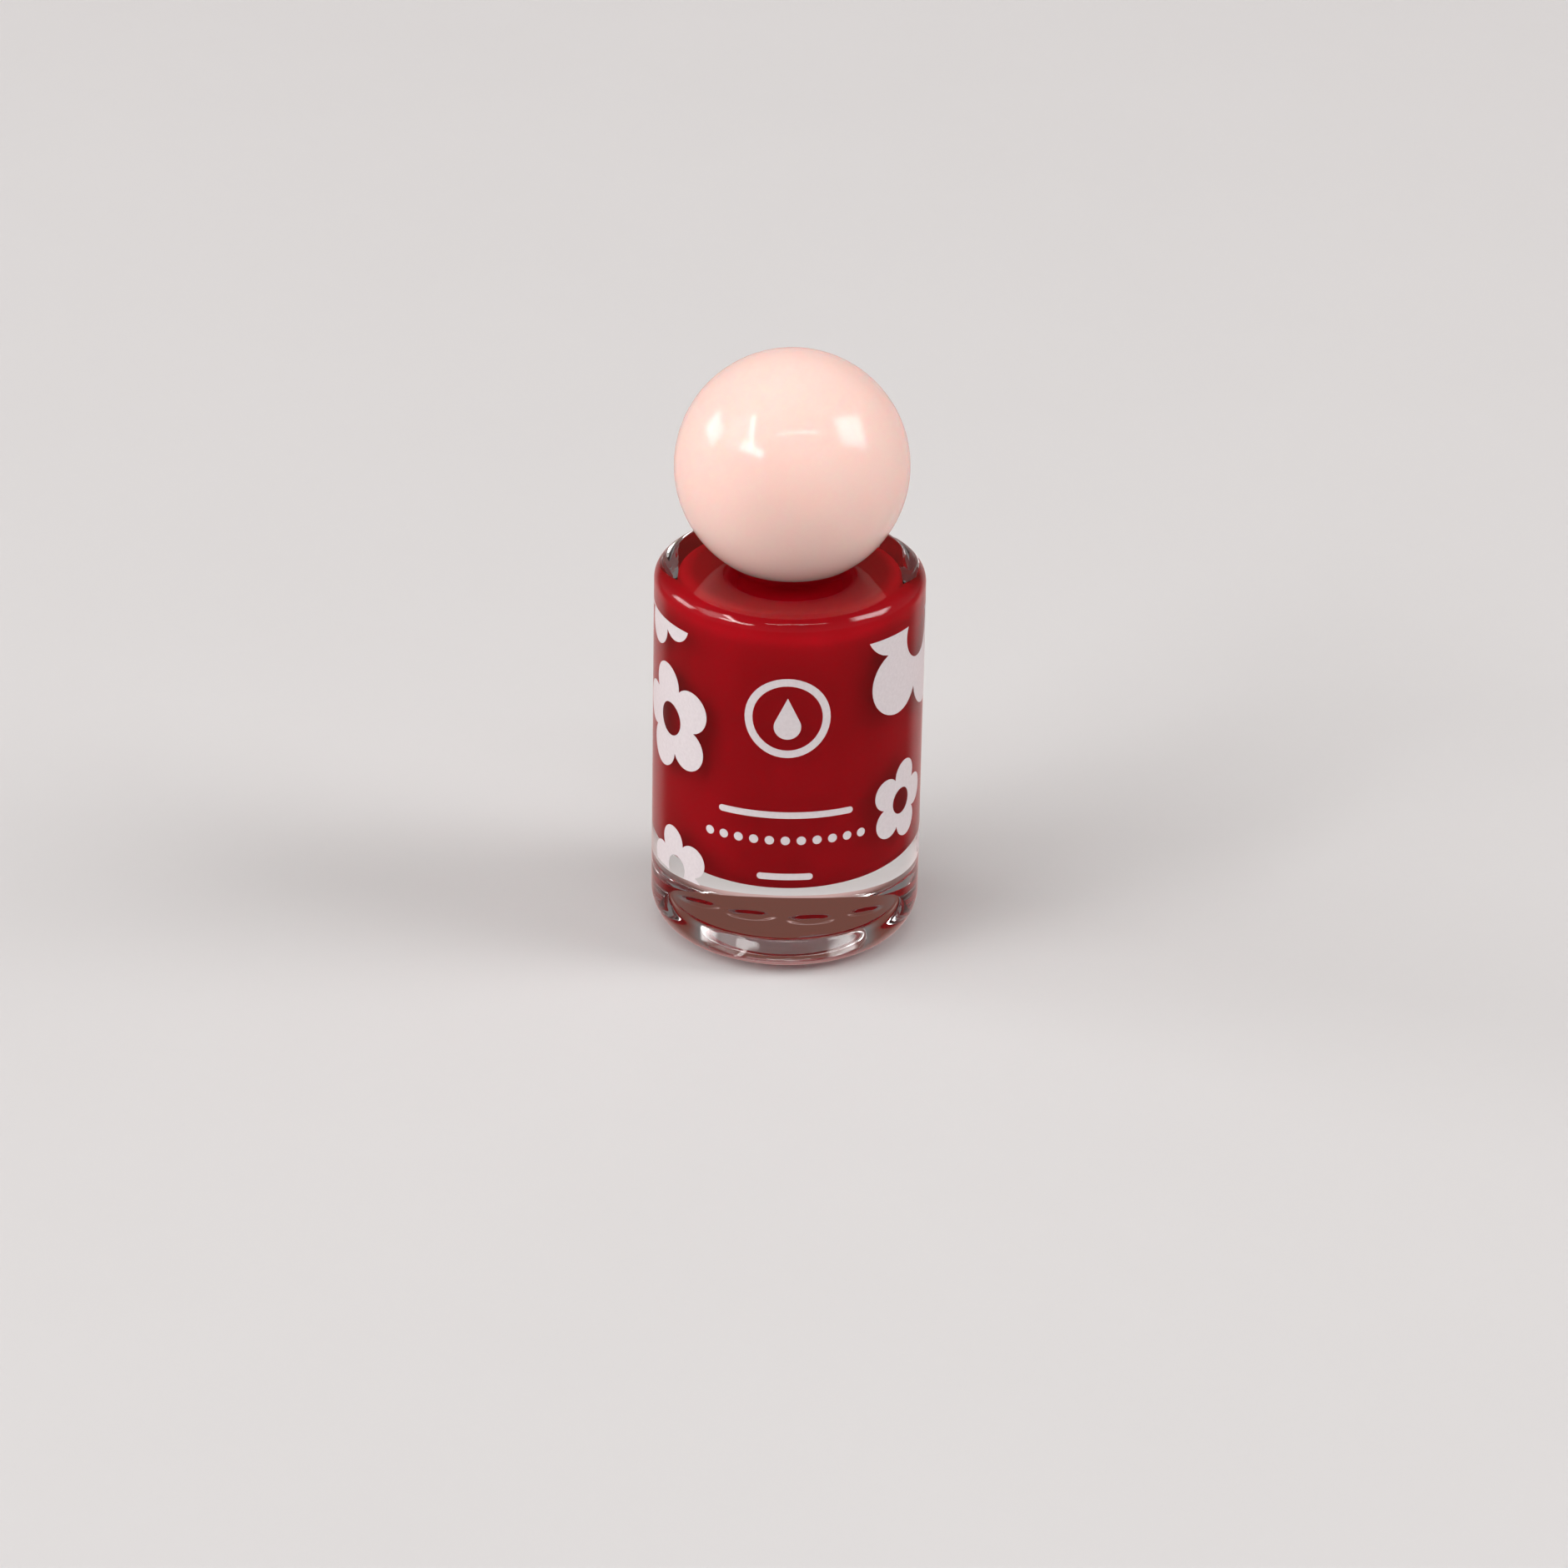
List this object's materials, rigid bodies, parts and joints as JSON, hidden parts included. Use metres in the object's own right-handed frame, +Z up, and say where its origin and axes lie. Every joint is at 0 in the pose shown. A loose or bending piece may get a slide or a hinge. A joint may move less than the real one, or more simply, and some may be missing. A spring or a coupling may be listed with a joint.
{
  "type": "nail polish bottle",
  "caption": "Small round glass nail polish bottle with a thick clear base, a glossy ball cap and a brush on a long stem.",
  "frame": {"origin": "centre of the bearing ring, on the surface that the bottle stands on", "axes": "+Z up along the bottle's axis to the ball, -Y to the printed front, +X to the right seen from the front"},
  "size_m": [0.029, 0.029, 0.0662],
  "materials": {
    "clear_glass": "clear, fire-polished",
    "red_lacquer": "wet gloss",
    "mixing_steel": "polished",
    "washer_foam": "matt foam",
    "inner_cap_plastic": "satin moulded",
    "pink_gloss_plastic": "high gloss",
    "stem_plastic": "satin moulded",
    "bristle_nylon": "nylon wet with lacquer",
    "staple_wire": "flat wire"
  },
  "bodies": {
    "bottle": {"glass_bottle": "clear_glass", "nail_lacquer": "red_lacquer", "mixing_ball_1": "mixing_steel", "mixing_ball_2": "mixing_steel"},
    "washer": {"sealing_washer": "washer_foam"},
    "cap": {"ball_overcap": "pink_gloss_plastic", "inner_cap": "inner_cap_plastic", "brush_stem": "stem_plastic", "bristle_tuft": "bristle_nylon", "brush_staple": "staple_wire"}
  },
  "joints": [
    {"name": "cap_lift", "type": "slide", "parent": "bottle", "child": "washer", "axis": [0, 0, 1], "range_m": [0, 0.05]},
    {"name": "cap_turn", "type": "hinge", "parent": "washer", "child": "cap", "pos_m": [0, 0, 0.0536], "axis": [0, 0, 1], "range_deg": [0, 540]}
  ]
}
